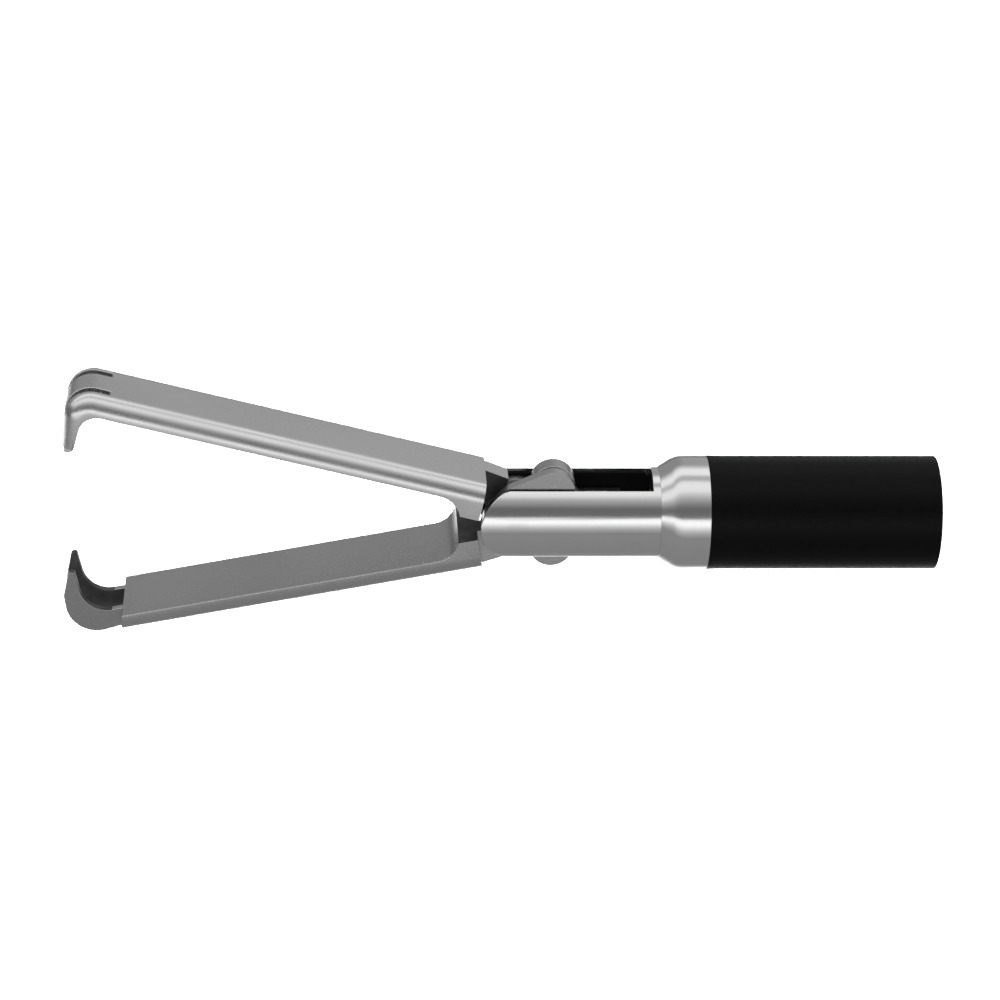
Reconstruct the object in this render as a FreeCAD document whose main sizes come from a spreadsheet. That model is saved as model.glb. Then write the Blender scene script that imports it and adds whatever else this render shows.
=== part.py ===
import FreeCAD, Part
import math
import os
import Sketcher

# Working end of a 10 mm laparoscopic claw grasper, in millimetres.
# The origin is the centre of the shaft's cut end. +X runs along the shaft, away from the jaws,
# +Y is the direction of the jaws' pivot pin and +Z is up, on the side of the three-fingered jaw.
# The rest position is half open: each jaw stands half_opening away from the closed line.

SIZES = [
    ("stub_length", 20.3, "insulated shaft behind the collar"),
    ("shaft_diameter", 10.0, "outside of the insulation and of the collar, flush with it"),
    ("insulation_wall", 0.35, "shrunk insulation"),
    ("tube_wall", 0.45, "steel tube"),
    ("collar_length", 3.2, "straight part of the collar"),
    ("flare_length", 1.1, "rounded front flare of the collar"),
    ("flare_round", 0.7, "rounding of the flare's rim"),
    ("spigot_length", 6.0, "collar's spigot inside the tube"),
    ("seat_depth", 2.6, "depth of the fork's head in the collar"),
    ("fit_gap", 0.02, "radial gap of seated round parts"),
    ("slide_gap", 0.05, "gap of faces and bores that slide"),
    ("collar_wall", 0.98, "collar around the fork's head"),
    ("neck_length", 0.65, "full fork between the slot and the flare"),
    ("slot_depth", 11.85, "pivot to the bottom of the fork's slot"),
    ("slot_width", 4.8, "fork's slot"),
    ("nose_radius", 3.27, "round front of each fork arm"),
    ("spigot_wall", 0.96, "collar's spigot around the fork's shank"),
    ("shank_bore", 3.0, "bore of the shank"),
    ("liner_thickness", 0.18, "liner on each face of the slot"),
    ("liner_height", 5.7, "liner, top to bottom"),
    ("liner_round", 2.79, "rounding of the liner's front"),
    ("pivot_diameter", 2.0, "jaw pivot pin"),
    ("hub_radius", 2.6, "jaw hub beside the liner"),
    ("hub_boss_radius", 2.25, "jaw hub beside the other jaw, clear of the links"),
    ("shoulder_gap", 0.33, "flat shoulder of a jaw to the fork arm's nose"),
    ("shoulder_lean", 0.1, "how far the shoulder leans away from the fork at its top"),
    ("half_opening", 12.5, "degrees, each jaw at rest"),
    ("jaw_lean", 1.65, "degrees, lean of the closed pair of blades"),
    ("jaw_length", 41.0, "pivot to the jaw's blunt end"),
    ("jaw_width", 7.9, "blade width"),
    ("blade_thickness", 1.7, "blade thickness"),
    ("blade_offset", 1.56, "blade's inner face from the closing plane"),
    ("edge_round", 1.5, "rounding of the upper blade's outer long edges"),
    ("lower_edge_round", 1.45, "rounding of the lower blade's outer long edges"),
    ("root_gap", 0.15, "jaw root from the closing plane"),
    ("crotch_distance", 5.3, "pivot to the crotch of the jaws"),
    ("crotch_rise", 0.65, "slant of the root wall"),
    ("crotch_round", 2.4, "sweep from the root wall to the blade"),
    ("neck_slope", 7.6, "degrees, back of the neck down to its step at the hub"),
    ("neck_step", 1.5, "step at the end of the neck, before the pivot"),
    ("neck_height", 2.95, "top of that step above the pivot"),
    ("channel_start", 7.6, "channel in the inner face, root end"),
    ("channel_end", 35.0, "channel in the inner face, tip end"),
    ("channel_depth", 0.3, "channel depth at the root end"),
    ("channel_runout", 0.06, "channel depth at the tip end"),
    ("channel_lip", 0.75, "lip on each side of the channel"),
    ("bend_round", 2.3, "outer bend of a finger"),
    ("bend_inner", 1.6, "inner bend of a finger"),
    ("finger_reach", 3.76, "finger tip beyond the blade's inner face"),
    ("finger_base", 1.95, "finger thickness at the bend"),
    ("finger_tip", 1.05, "finger thickness at the tip"),
    ("finger_tip_round", 0.45, "rounding of the finger tips"),
    ("finger_rake", 0.85, "how far a finger's face leans back"),
    ("finger_slot", 0.8, "slot between two fingers"),
    ("middle_finger", 3.1, "width of the middle finger"),
    ("slot_runout", 0.7, "slant of the slots' blind end"),
    ("slot_length", 4.2, "slots from the blunt end"),
    ("tooth_thickness", 0.7, "each tooth of the lower jaw"),
    ("tooth_bend_round", 2.7, "outer bend of a tooth"),
    ("tooth_bend_inner", 2.4, "inner bend of a tooth"),
    ("tooth_reach", 4.25, "tooth tip beyond the blade's inner face"),
    ("tooth_base", 2.2, "tooth thickness at the bend"),
    ("tooth_tip", 0.5, "tooth thickness at the tip"),
    ("tooth_tip_round", 0.2, "rounding of the tooth tips"),
    ("tooth_tip_back", 1.5, "tooth tip behind the blunt end"),
    ("tooth_knee", 2.15, "height of the tooth's knee below its tip"),
    ("tooth_knee_back", 0.6, "knee behind the blunt end"),
    ("tooth_knee_round", 1.25, "rounding of the knee"),
    ("tooth_heel_back", 0.4, "heel of the tooth behind the blunt end"),
    ("tooth_heel_drop", 0.5, "heel of the tooth beyond the back of the blade"),
    ("tooth_relief", 5.4, "gap and corner reliefs from the blunt end"),
    ("tang_angle", 31.1, "degrees, tang below the closed line"),
    ("tang_length", 4.35, "pivot to the rivet"),
    ("tang_root", 1.0, "pivot to the centre of the tang's wide root"),
    ("tang_root_radius", 2.95, "wide root of the tang"),
    ("tang_end_radius", 1.85, "round end of the tang"),
    ("tang_thickness", 1.0, "tang beside its link"),
    ("rivet_diameter", 1.2, "link rivet"),
    ("link_waist", 2.2, "link between its eyes"),
    ("link_boss_radius", 1.95, "link's thick eye on the rivet"),
    ("link_boss_reach", 0.6, "how far that eye reaches over the middle of the slot"),
    ("link_eye_radius", 1.45, "link's eye on the yoke pin"),
    ("yoke_pin_diameter", 1.2, "yoke pin"),
    ("open_pivot_gap", 0.2, "play of the links on the yoke pin"),
    ("yoke_height", 3.0, "yoke, top to bottom"),
    ("yoke_round", 1.44, "rounding of the yoke's ears"),
    ("yoke_width", 4.0, "yoke, side to side"),
    ("yoke_back", 3.0, "yoke pin to the yoke's back face"),
    ("yoke_bridge", 1.25, "solid bridge of the yoke"),
    ("rod_diameter", 2.4, "pull rod"),
    ("rod_spigot_diameter", 1.8, "rod's end in the yoke"),
    ("rod_recess", 2.0, "rod's free end inside the cut end"),
    ("rod_tail_diameter", 1.8, "turned end of the rod, for the handle's rod"),
    ("rod_tail", 3.0, "length of that turned end"),
    ("sleeve_wall", 0.4, "insulating sleeve of the rod"),
    ("sleeve_start", 2.2, "sleeve behind the fork's shank"),
    ("sleeve_margin", 0.4, "bare rod between the sleeve and the turned end"),
    ("bush_length", 4.0, "guide bush in the fork"),
    ("bush_wall", 0.85, "guide bush wall"),
    ("disc_thickness", 2.5, "centring disc in the tube"),
    ("disc_place", 6.5, "centring disc from the cut end"),
    ("cut_margin", 0.3, "how far a cutting profile reaches past an edge"),
    ("lock_pin_diameter", 1.0, "pins between collar and shank"),
]

doc = FreeCAD.newDocument("claw_grasper")


def fill_sheet():
    """Driving dimensions: a name, a value and a note on each row."""
    table = doc.addObject("Spreadsheet::Sheet", "sizes")
    for row, (alias, value, note) in enumerate(SIZES, start=1):
        table.set(f"A{row}", alias)
        table.set(f"B{row}", str(value))
        table.set(f"C{row}", note)
        table.setAlias(f"B{row}", alias)
    doc.recompute()
    return table


sheet = fill_sheet()

# Places along the axis, measured from the jaws' pivot towards the shaft
NECK_END = "(sizes.slot_depth + sizes.neck_length)"
RIM = f"({NECK_END} + sizes.flare_length)"
COLLAR_BACK = f"({RIM} + sizes.collar_length)"
CUT_END = f"({COLLAR_BACK} + sizes.stub_length)"
SEAT = f"({NECK_END} + sizes.seat_depth)"
SPIGOT_END = f"({COLLAR_BACK} + sizes.spigot_length)"
BUSH_END = "(sizes.slot_depth + sizes.bush_length)"
LOCK_X = f"({COLLAR_BACK} + sizes.spigot_length / 2)"
TUBE_INNER = "(sizes.shaft_diameter / 2 - sizes.insulation_wall - sizes.tube_wall)"
TUBE_OUTER = "(sizes.shaft_diameter / 2 - sizes.insulation_wall)"
SPIGOT_RADIUS = f"({TUBE_INNER} - sizes.fit_gap)"
SHANK_RADIUS = f"({SPIGOT_RADIUS} - sizes.spigot_wall - sizes.fit_gap)"
FORK_RADIUS = "(sizes.shaft_diameter / 2 - sizes.collar_wall - sizes.fit_gap)"
FORK_DIAMETER = f"(2 * {FORK_RADIUS})"
ROD_RADIUS = "(sizes.rod_diameter / 2)"
ROD_BACK = f"({CUT_END} - sizes.rod_recess)"
TAIL_START = f"({ROD_BACK} - sizes.rod_tail)"

# Linkage at rest: the tang and its link make equal angles with the axis
REST_TANG = "(sizes.tang_angle + sizes.half_opening)"
RIVET_X = f"(sizes.tang_length * cos({REST_TANG}))"
RIVET_Z = f"(sizes.tang_length * sin({REST_TANG}))"
YOKE_X = f"(2 * {RIVET_X})"

# Layers across the slot, outwards from the middle
LINER_OUTER = "(sizes.slot_width / 2 - sizes.fit_gap)"
LINER_INNER = f"({LINER_OUTER} - sizes.liner_thickness)"
HUB_OUTER = f"({LINER_INNER} - sizes.slide_gap)"
HUB_INNER = "(sizes.slide_gap / 2)"
TANG_INNER = f"({HUB_OUTER} - sizes.tang_thickness)"
LINK_OUTER = f"({TANG_INNER} - sizes.slide_gap)"
LINK_INNER = "sizes.slide_gap"


def value(expression):
    """The number that an expression on the sheet gives now."""
    result = sheet.evalExpression(str(expression).replace("sizes.", ""))
    return float(getattr(result, "Value", result))


def plane(body, role):
    """One of a body's own origin planes or axes, found by its role."""
    return next(item for item in body.Origin.OriginFeatures if item.Role == role)


def new_body(label):
    body = doc.addObject("PartDesign::Body", label)
    body.Label = label
    return body


def new_sketch(body, name, role, offset="0"):
    """A sketch on an origin plane, moved along the plane's normal by an expression."""
    sketch = body.newObject("Sketcher::SketchObject", name)
    sketch.AttachmentSupport = (plane(body, role), "")
    sketch.MapMode = "FlatFace"
    if offset != "0":
        sketch.setExpression("AttachmentOffset.Base.z", offset)
    return sketch


def add(sketch, *arguments):
    return sketch.addConstraint(Sketcher.Constraint(*arguments))


def drive(sketch, index, expression):
    """Ties a dimension of the sketch to the sheet; a zero dimension stays fixed."""
    sketch.setExpression(f"Constraints[{index}]", expression)


def pin_point(sketch, geometry, position, across, up):
    """Holds a point at two expressions measured from the sketch's origin."""
    drive(sketch, add(sketch, "DistanceX", -1, 1, geometry, position, value(across)), across)
    drive(sketch, add(sketch, "DistanceY", -1, 1, geometry, position, value(up)), up)


def corner_arc(before, corner, after, radius):
    """Start, end and centre of the arc of a radius that touches both sides of a corner."""
    to_before = (before - corner).normalize()
    to_after = (after - corner).normalize()
    half = to_before.getAngle(to_after) / 2
    start = corner + to_before * (radius / math.tan(half))
    end = corner + to_after * (radius / math.tan(half))
    centre = corner + (to_before + to_after).normalize() * (radius / math.sin(half))
    return start, end, centre


def arc_between(start, end, centre):
    """The shorter arc about a centre, and whether it runs from start to end anticlockwise."""
    first = math.atan2(start.y - centre.y, start.x - centre.x)
    last = math.atan2(end.y - centre.y, end.x - centre.x)
    turns_left = (last - first) % (2 * math.pi) < math.pi
    circle = Part.Circle(centre, FreeCAD.Vector(0, 0, 1), (start - centre).Length)
    if turns_left:
        return Part.ArcOfCircle(circle, first, last), True
    return Part.ArcOfCircle(circle, last, first), False


def draw_corners(sketch, corners, closed=True):
    """Straight sides through corners (across, up, optional radius), each value an expression.

    A corner with a radius is a construction point that both sides run through, and an arc
    tangent to them."""
    points = [FreeCAD.Vector(value(c[0]), value(c[1]), 0) for c in corners]
    count = len(corners)
    sides = count if closed else count - 1
    rounds = {}
    for i, corner in enumerate(corners):
        if len(corner) > 2:
            rounds[i] = corner_arc(points[i - 1], points[i], points[(i + 1) % count], value(corner[2]))
    lines = []
    for i in range(sides):
        after = (i + 1) % count
        start = rounds[i][1] if i in rounds else points[i]
        end = rounds[after][0] if after in rounds else points[after]
        lines.append(sketch.addGeometry(Part.LineSegment(start, end)))
    for i, corner in enumerate(corners):
        before = lines[i - 1] if closed or i > 0 else None
        after = lines[i] if i < sides else None
        if i not in rounds:
            if before is not None and after is not None:
                add(sketch, "Coincident", before, 2, after, 1)
            geometry, position = (after, 1) if after is not None else (before, 2)
            pin_point(sketch, geometry, position, corner[0], corner[1])
            continue
        start, end, centre = rounds[i]
        shape, turns_left = arc_between(start, end, centre)
        arc = sketch.addGeometry(shape)
        spot = sketch.addGeometry(Part.Point(points[i]), True)
        first, last = (1, 2) if turns_left else (2, 1)
        add(sketch, "Tangent", before, 2, arc, first)
        add(sketch, "Tangent", after, 1, arc, last)
        add(sketch, "PointOnObject", spot, 1, before)
        add(sketch, "PointOnObject", spot, 1, after)
        pin_point(sketch, spot, 1, corner[0], corner[1])
        drive(sketch, add(sketch, "Radius", arc, value(corner[2])), corner[2])


def draw_circle(sketch, radius, across="0", up="0"):
    centre = FreeCAD.Vector(value(across), value(up), 0)
    circle = sketch.addGeometry(Part.Circle(centre, FreeCAD.Vector(0, 0, 1), value(radius)))
    drive(sketch, add(sketch, "Radius", circle, value(radius)), radius)
    pin_point(sketch, circle, 3, across, up)


def draw_belt(sketch, first_end, last_end):
    """Two round ends, each (radius, across, up), joined by their outer tangent lines."""
    ra, ax, ay = (value(part) for part in first_end)
    rb, bx, by = (value(part) for part in last_end)
    a = FreeCAD.Vector(ax, ay, 0)
    b = FreeCAD.Vector(bx, by, 0)
    heading = math.atan2(by - ay, bx - ax)
    spread = math.acos((ra - rb) / (b - a).Length)
    low = FreeCAD.Vector(math.cos(heading - spread), math.sin(heading - spread), 0)
    high = FreeCAD.Vector(math.cos(heading + spread), math.sin(heading + spread), 0)
    normal = FreeCAD.Vector(0, 0, 1)
    end_a = sketch.addGeometry(
        Part.ArcOfCircle(Part.Circle(a, normal, ra), heading + spread, heading - spread + 2 * math.pi))
    end_b = sketch.addGeometry(
        Part.ArcOfCircle(Part.Circle(b, normal, rb), heading - spread, heading + spread))
    side_low = sketch.addGeometry(Part.LineSegment(a + low * ra, b + low * rb))
    side_high = sketch.addGeometry(Part.LineSegment(b + high * rb, a + high * ra))
    add(sketch, "Tangent", end_a, 2, side_low, 1)
    add(sketch, "Tangent", side_low, 2, end_b, 1)
    add(sketch, "Tangent", end_b, 2, side_high, 1)
    add(sketch, "Tangent", side_high, 2, end_a, 1)
    pin_point(sketch, end_a, 3, first_end[1], first_end[2])
    pin_point(sketch, end_b, 3, last_end[1], last_end[2])
    drive(sketch, add(sketch, "Radius", end_a, ra), first_end[0])
    drive(sketch, add(sketch, "Radius", end_b, rb), last_end[0])


def side_sketch(body, name, y_high):
    """A sketch in side view, X across and Z up, lying at a height along Y.

    The plane's normal points to -Y, so its offset is the negative of that height."""
    return new_sketch(body, name, "XZ_Plane", f"0 - ({y_high})")


def finish(body, feature, sketch, adds):
    """Recomputes the document and checks that the feature added or removed material."""
    base = feature.BaseFeature
    before = base.Shape.Volume if base is not None else 0.0
    sketch.Visibility = False
    doc.recompute()
    after = feature.Shape.Volume
    if (after > before) != adds or abs(after - before) < 1e-9:
        raise RuntimeError(f"{feature.Name} of {body.Label}: volume {before:.4f} to {after:.4f}")
    return feature


def pad_between(body, sketch, low, high):
    """Material from the side sketch, which lies at y = high, down to y = low."""
    feature = body.newObject("PartDesign::Pad", sketch.Name + "_pad")
    feature.Profile = sketch
    feature.setExpression("Length", f"({high}) - ({low})")
    return finish(body, feature, sketch, True)


def cut_between(body, sketch, low, high):
    """A cut from the side sketch, which lies at y = high, down to y = low."""
    feature = body.newObject("PartDesign::Pocket", sketch.Name + "_cut")
    feature.Profile = sketch
    feature.Reversed = True
    feature.setExpression("Length", f"({high}) - ({low})")
    return finish(body, feature, sketch, False)


def drill(body, name, radius, across="0", up="0", reach="sizes.shaft_diameter"):
    """A round hole along Y right through the body."""
    sketch = side_sketch(body, name, reach)
    draw_circle(sketch, radius, across, up)
    return cut_between(body, sketch, f"0 - {reach}", reach)


def revolve(label, corners):
    """A turned body: corners give the place along the axis and the radius."""
    body = new_body(label)
    sketch = new_sketch(body, label + "_half", "XY_Plane")
    draw_corners(sketch, corners)
    feature = body.newObject("PartDesign::Revolution", label + "_turned")
    feature.Profile = sketch
    feature.ReferenceAxis = (sketch, ["H_Axis"])
    feature.Angle = 360.0
    finish(body, feature, sketch, True)
    return body


def place(item, x="0", z="0", turn="0", flip=False):
    """Puts a piece at a distance from the pivot, turned about Y; a flip first turns it over."""
    base = f"create(<<vector>>; {x} - {CUT_END}; 0; {z})"
    about_y = f"create(<<rotation>>; create(<<vector>>; 0; 1; 0); {turn})"
    over = "create(<<rotation>>; create(<<vector>>; 1; 0; 0); 180)"
    rotation = f"{about_y} * {over}" if flip else about_y
    item.setExpression("Placement", f"create(<<placement>>; {base}; {rotation})")


# Blades: both jaws are drawn with the blade pointing to -X, above the closing plane
BACK_Z = "(sizes.blade_offset + sizes.blade_thickness)"
HALF_WIDTH = "(sizes.jaw_width / 2)"
SHOULDER_X = "(0 - sizes.nose_radius - sizes.shoulder_gap)"
NECK_FRONT_X = f"({SHOULDER_X} - 2 * sizes.shoulder_lean)"
NECK_FRONT_Z = f"(sizes.neck_height + (0 - {NECK_FRONT_X} - sizes.neck_step) * tan(sizes.neck_slope))"
ROOT_CORNERS = [
    ("0 - sizes.crotch_distance", "sizes.root_gap"),
    ("0 - sizes.crotch_distance - sizes.crotch_rise", "sizes.blade_offset", "sizes.crotch_round"),
]
SHOULDER_CORNERS = [
    (f"{SHOULDER_X} - sizes.shoulder_lean", BACK_Z),
    (SHOULDER_X, "sizes.root_gap"),
]
END_X = "(0 - sizes.jaw_length)"
FINGER_TIP_Z = "(sizes.blade_offset - sizes.finger_reach)"
FINGER_TIP_X = f"({END_X} + sizes.finger_rake)"
FINGER_CORNERS = [
    (f"{END_X} + sizes.finger_base", "sizes.blade_offset", "sizes.bend_inner"),
    (f"{FINGER_TIP_X} + sizes.finger_tip", FINGER_TIP_Z, "sizes.finger_tip_round"),
    (FINGER_TIP_X, FINGER_TIP_Z, "sizes.finger_tip_round"),
    (END_X, BACK_Z, "sizes.bend_round"),
]
TOOTH_TIP_Z = "(sizes.blade_offset - sizes.tooth_reach)"
TOOTH_BACK_X = f"({END_X} + sizes.tooth_knee_back)"
TOOTH_TIP_X = f"({END_X} + sizes.tooth_tip_back)"
TOOTH_CORNERS = [
    (f"{END_X} + sizes.tooth_base", "sizes.blade_offset", "sizes.tooth_bend_inner"),
    (f"{TOOTH_TIP_X} + sizes.tooth_tip", TOOTH_TIP_Z, "sizes.tooth_tip_round"),
    (TOOTH_TIP_X, TOOTH_TIP_Z, "sizes.tooth_tip_round"),
    (TOOTH_BACK_X, f"{TOOTH_TIP_Z} + sizes.tooth_knee", "sizes.tooth_knee_round"),
    (f"{END_X} + sizes.tooth_heel_back", f"{BACK_Z} + sizes.tooth_heel_drop", "sizes.tooth_bend_round"),
    (f"{END_X} + sizes.tooth_relief - sizes.slot_runout", BACK_Z),
]


def round_long_edges(body, path_corners, size):
    """Runs a hollow quarter-round of a size along the back of the blade, down both outer edges."""
    path = new_sketch(body, body.Label + "_back_line", "XZ_Plane")
    draw_corners(path, path_corners, closed=False)
    for side, name in ((1, "far"), (-1, "near")):
        profile = new_sketch(body, f"{body.Label}_{name}_round", "YZ_Plane", path_corners[0][0])
        edge = value(HALF_WIDTH)
        top = value(path_corners[0][1])
        radius = value(size)
        margin = value("sizes.cut_margin")
        inner = FreeCAD.Vector(side * (edge - radius), top, 0)
        outer = FreeCAD.Vector(side * edge, top - radius, 0)
        centre = FreeCAD.Vector(side * (edge - radius), top - radius, 0)
        shape, turns_left = arc_between(inner, outer, centre)
        arc = profile.addGeometry(shape)
        first, last = (1, 2) if turns_left else (2, 1)
        corners = [outer, outer + FreeCAD.Vector(side * margin, 0, 0),
                   FreeCAD.Vector(side * (edge + margin), top + margin, 0),
                   inner + FreeCAD.Vector(0, margin, 0), inner]
        lines = [profile.addGeometry(Part.LineSegment(a, b)) for a, b in zip(corners, corners[1:])]
        add(profile, "Coincident", arc, last, lines[0], 1)
        for one, two in zip(lines, lines[1:]):
            add(profile, "Coincident", one, 2, two, 1)
        add(profile, "Coincident", lines[3], 2, arc, first)
        for line in (lines[0], lines[2]):
            add(profile, "Horizontal", line)
        for line in (lines[1], lines[3]):
            add(profile, "Vertical", line)
        pin_point(profile, arc, 3, f"{side} * ({HALF_WIDTH} - {size})", f"{path_corners[0][1]} - {size}")
        drive(profile, add(profile, "Radius", arc, radius), size)
        add(profile, "DistanceX", arc, 3, arc, first, 0.0)
        add(profile, "DistanceY", arc, 3, arc, last, 0.0)
        pin_point(profile, lines[1], 2, f"{side} * ({HALF_WIDTH} + sizes.cut_margin)",
                  f"{path_corners[0][1]} + sizes.cut_margin")
        pipe = body.newObject("PartDesign::SubtractivePipe", profile.Name + "_pipe")
        pipe.Profile = profile
        pipe.Spine = (path, [])
        pipe.Mode = 0
        finish(body, pipe, profile, False)
    path.Visibility = False


def jaw_blank(label, end_corners, tang_angle):
    """Blade with its hooked end, root wall, half hub and tang, before the fingers are cut."""
    body = new_body(label)
    blade = side_sketch(body, label + "_blade", HALF_WIDTH)
    draw_corners(blade, ROOT_CORNERS + end_corners + SHOULDER_CORNERS)
    pad_between(body, blade, f"0 - {HALF_WIDTH}", HALF_WIDTH)
    channel = side_sketch(body, label + "_channel", f"{HALF_WIDTH} - sizes.channel_lip")
    draw_corners(channel, [
        ("0 - sizes.channel_start", "0"),
        ("0 - sizes.channel_start", "sizes.blade_offset + sizes.channel_depth"),
        ("0 - sizes.channel_end", "sizes.blade_offset + sizes.channel_runout"),
        ("0 - sizes.channel_end", "0"),
    ])
    cut_between(body, channel, f"0 - ({HALF_WIDTH} - sizes.channel_lip)", f"{HALF_WIDTH} - sizes.channel_lip")
    neck = side_sketch(body, label + "_neck", HUB_OUTER)
    draw_corners(neck, [
        (NECK_FRONT_X, "sizes.root_gap"),
        (NECK_FRONT_X, NECK_FRONT_Z),
        ("0 - sizes.neck_step", "sizes.neck_height"),
        ("0 - sizes.neck_step", "sizes.root_gap"),
    ])
    pad_between(body, neck, HUB_INNER, HUB_OUTER)
    boss = side_sketch(body, label + "_hub_boss", HUB_OUTER)
    draw_circle(boss, "sizes.hub_boss_radius")
    pad_between(body, boss, HUB_INNER, HUB_OUTER)
    hub = side_sketch(body, label + "_hub", HUB_OUTER)
    draw_circle(hub, "sizes.hub_radius")
    pad_between(body, hub, TANG_INNER, HUB_OUTER)
    tang = side_sketch(body, label + "_tang", HUB_OUTER)
    tang_x = f"sizes.tang_length * cos({tang_angle})"
    tang_z = f"0 - sizes.tang_length * sin({tang_angle})"
    root_x = f"sizes.tang_root * cos({tang_angle})"
    root_z = f"0 - sizes.tang_root * sin({tang_angle})"
    draw_belt(tang, ("sizes.tang_root_radius", root_x, root_z), ("sizes.tang_end_radius", tang_x, tang_z))
    pad_between(body, tang, TANG_INNER, HUB_OUTER)
    drill(body, label + "_pivot_hole", "sizes.pivot_diameter / 2 + sizes.slide_gap / 2")
    drill(body, label + "_rivet_hole", "sizes.rivet_diameter / 2 + sizes.fit_gap / 2", tang_x, tang_z)
    return body


def make_upper_jaw():
    """Three hooked fingers, cut from the bent blade by two slots."""
    body = jaw_blank("upper_jaw", FINGER_CORNERS, "(sizes.tang_angle - sizes.jaw_lean)")
    back_line = [(SHOULDER_X, BACK_Z), FINGER_CORNERS[3], FINGER_CORNERS[2][:2]]
    round_long_edges(body, back_line, "sizes.edge_round")
    low = f"{FINGER_TIP_Z} - sizes.edge_round"
    slot_corners = [
        (f"{END_X} - sizes.edge_round", low),
        (f"{END_X} + sizes.slot_length - sizes.slot_runout", low),
        (f"{END_X} + sizes.slot_length - sizes.slot_runout", "sizes.blade_offset"),
        (f"{END_X} + sizes.slot_length", f"{BACK_Z} + sizes.edge_round"),
        (f"{END_X} - sizes.edge_round", f"{BACK_Z} + sizes.edge_round"),
    ]
    inner = "(sizes.middle_finger / 2)"
    outer = f"({inner} + sizes.finger_slot)"
    for name, low_y, high_y in (("far", inner, outer), ("near", f"0 - {outer}", f"0 - {inner}")):
        slot = side_sketch(body, f"finger_slot_{name}", high_y)
        draw_corners(slot, slot_corners)
        cut_between(body, slot, low_y, high_y)
    place(body, turn="sizes.jaw_lean + sizes.half_opening")
    return body


def make_lower_jaw():
    """Two hooked teeth that pass through the upper jaw's slots.

    Between them lies the gap for the middle finger, and outside them the corners are cut away
    for the outer fingers."""
    body = jaw_blank("lower_jaw", TOOTH_CORNERS, "(sizes.tang_angle + sizes.jaw_lean)")
    back_line = [(SHOULDER_X, BACK_Z), (f"{END_X} + sizes.tooth_bend_round", BACK_Z)]
    round_long_edges(body, back_line, "sizes.lower_edge_round")
    low = f"{TOOTH_TIP_Z} - sizes.edge_round"
    relief_corners = [
        (f"{END_X} - sizes.edge_round", low),
        (f"{END_X} + sizes.tooth_relief", low),
        (f"{END_X} + sizes.tooth_relief", "sizes.blade_offset"),
        (f"{END_X} + sizes.tooth_relief - sizes.slot_runout", f"{BACK_Z} + sizes.edge_round"),
        (f"{END_X} - sizes.edge_round", f"{BACK_Z} + sizes.edge_round"),
    ]
    middle = "(sizes.middle_finger / 2 + (sizes.finger_slot - sizes.tooth_thickness) / 2)"
    outer = f"({middle} + sizes.tooth_thickness)"
    cuts = (("middle", f"0 - {middle}", middle),
            ("far", outer, "sizes.jaw_width"),
            ("near", "0 - sizes.jaw_width", f"0 - {outer}"))
    for name, low_y, high_y in cuts:
        relief = side_sketch(body, f"tooth_relief_{name}", high_y)
        draw_corners(relief, relief_corners)
        cut_between(body, relief, low_y, high_y)
    place(body, turn="sizes.jaw_lean - sizes.half_opening", flip=True)
    return body


def make_pivot_pin():
    """Pin through both fork arms, its ends ground flush with the fork's round outside."""
    bar = doc.addObject("Part::Cylinder", "pivot_bar")
    bar.setExpression("Radius", "sizes.pivot_diameter / 2")
    bar.setExpression("Height", FORK_DIAMETER)
    bar.Placement.Rotation = FreeCAD.Rotation(FreeCAD.Vector(1, 0, 0), -90)
    bar.setExpression("Placement.Base.y", f"0 - {FORK_RADIUS}")
    envelope = doc.addObject("Part::Cylinder", "fork_envelope")
    envelope.setExpression("Radius", FORK_RADIUS)
    envelope.setExpression("Height", FORK_DIAMETER)
    envelope.Placement.Rotation = FreeCAD.Rotation(FreeCAD.Vector(0, 1, 0), 90)
    envelope.setExpression("Placement.Base.x", f"0 - {FORK_RADIUS}")
    pin = doc.addObject("Part::Common", "jaw_pivot_pin")
    pin.Base = bar
    pin.Tool = envelope
    pin.Label = "jaw_pivot_pin"
    place(pin)
    return pin


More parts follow.
